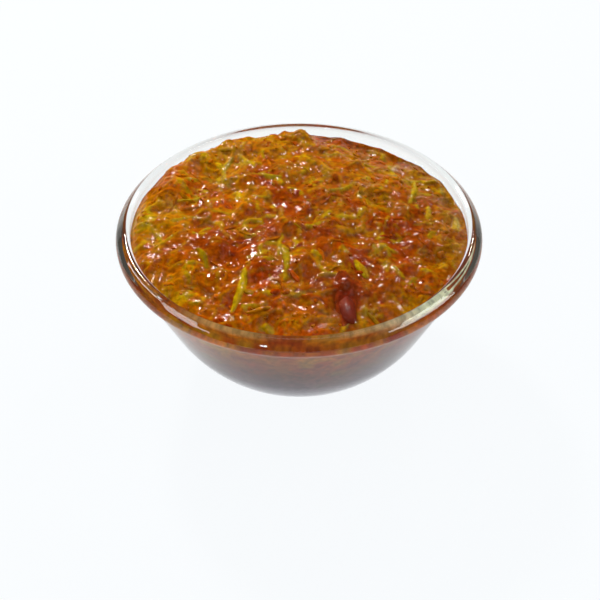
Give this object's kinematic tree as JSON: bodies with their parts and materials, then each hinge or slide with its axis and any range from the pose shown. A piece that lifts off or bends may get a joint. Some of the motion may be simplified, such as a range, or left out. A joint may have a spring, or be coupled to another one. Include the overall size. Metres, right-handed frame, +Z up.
{
  "type": "glass bowl of grated mango pickle",
  "caption": "Round clear glass bowl with a thick rounded lip, flared wall and flat foot, heaped above the rim with glossy grated mango pickle and a piece of red chilli.",
  "frame": {"origin": "centre of the flat foot, on the table", "axes": "+Z up, the bowl's axis; -Y towards the eater, the side the picture looks from"},
  "size_m": [0.12, 0.12, 0.0596],
  "materials": {
    "clear_glass": "clear polished soda-lime glass with a faint green tint",
    "pickle": "wet, oily and translucent, amber with yellow-green and orange-red shreds",
    "red_chilli": "wet dark red chilli skin"
  },
  "bodies": {
    "root": {"glass_bowl": "clear_glass", "pickle": "pickle", "chilli_piece": "red_chilli"}
  },
  "joints": []
}
